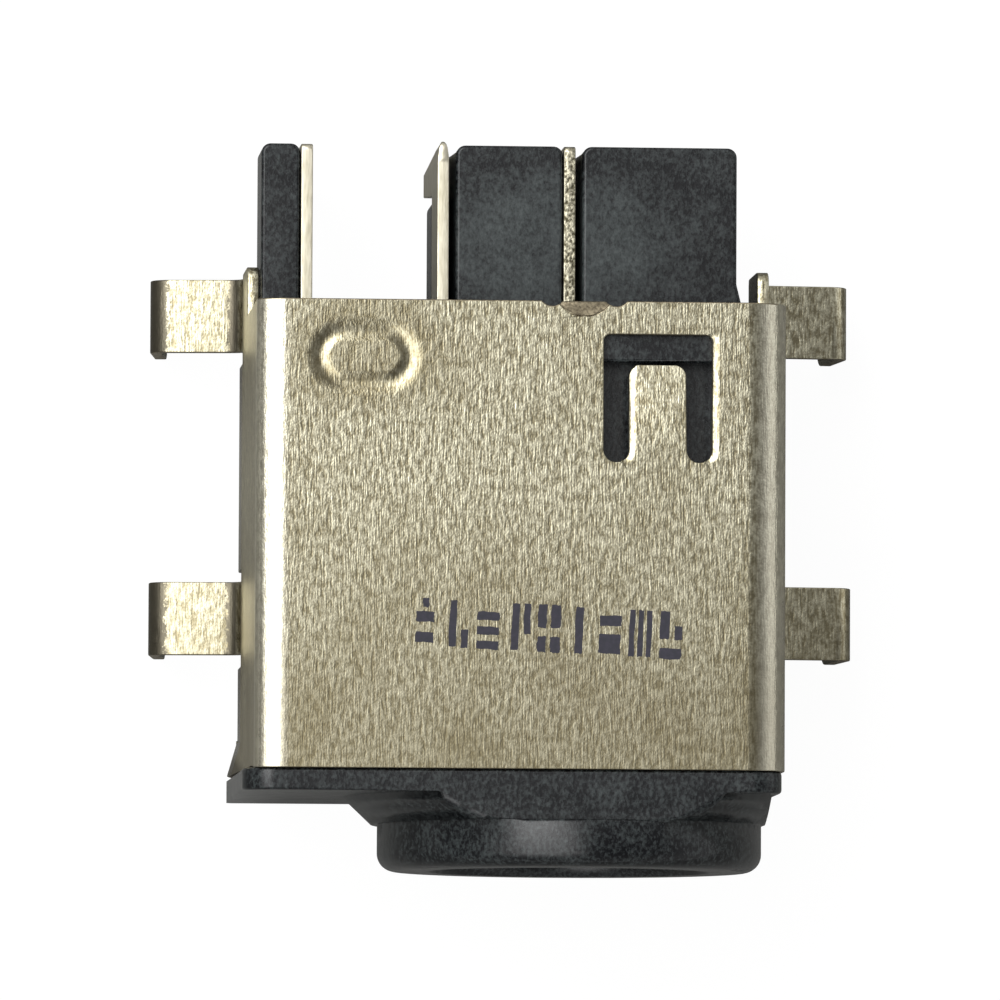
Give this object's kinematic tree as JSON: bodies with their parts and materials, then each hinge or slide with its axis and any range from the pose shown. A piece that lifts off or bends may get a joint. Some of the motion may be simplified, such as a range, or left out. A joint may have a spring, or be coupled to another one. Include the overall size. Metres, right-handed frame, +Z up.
{
  "type": "dc barrel jack",
  "caption": "Board-mount barrel power jack: round moulded nose with a centre pin, folded metal shield with solder legs, and contact pins at the tail",
  "frame": {"origin": "on the board's upper face, under the shell's midline, in the plane of the shell's mouth", "axes": "+Z up from the board, -Y the way the plug leaves, +Y towards the tail, +X to the right seen from the nose"},
  "size_m": [0.0178, 0.0183, 0.011],
  "materials": {
    "shield": "nickel-plated steel sheet with a fine rolled grain",
    "moulding": "black glass-filled moulding, matt",
    "pin": "turned brass, nickel-plated",
    "contacts": "stamped bronze strip, tin-plated, bare at the sheared edges"
  },
  "bodies": {
    "root": {"shield_shell": "shield", "housing": "moulding", "centre_pin": "pin", "centre_terminal": "contacts", "sleeve_contact": "contacts", "switch_contact": "contacts"}
  },
  "joints": []
}
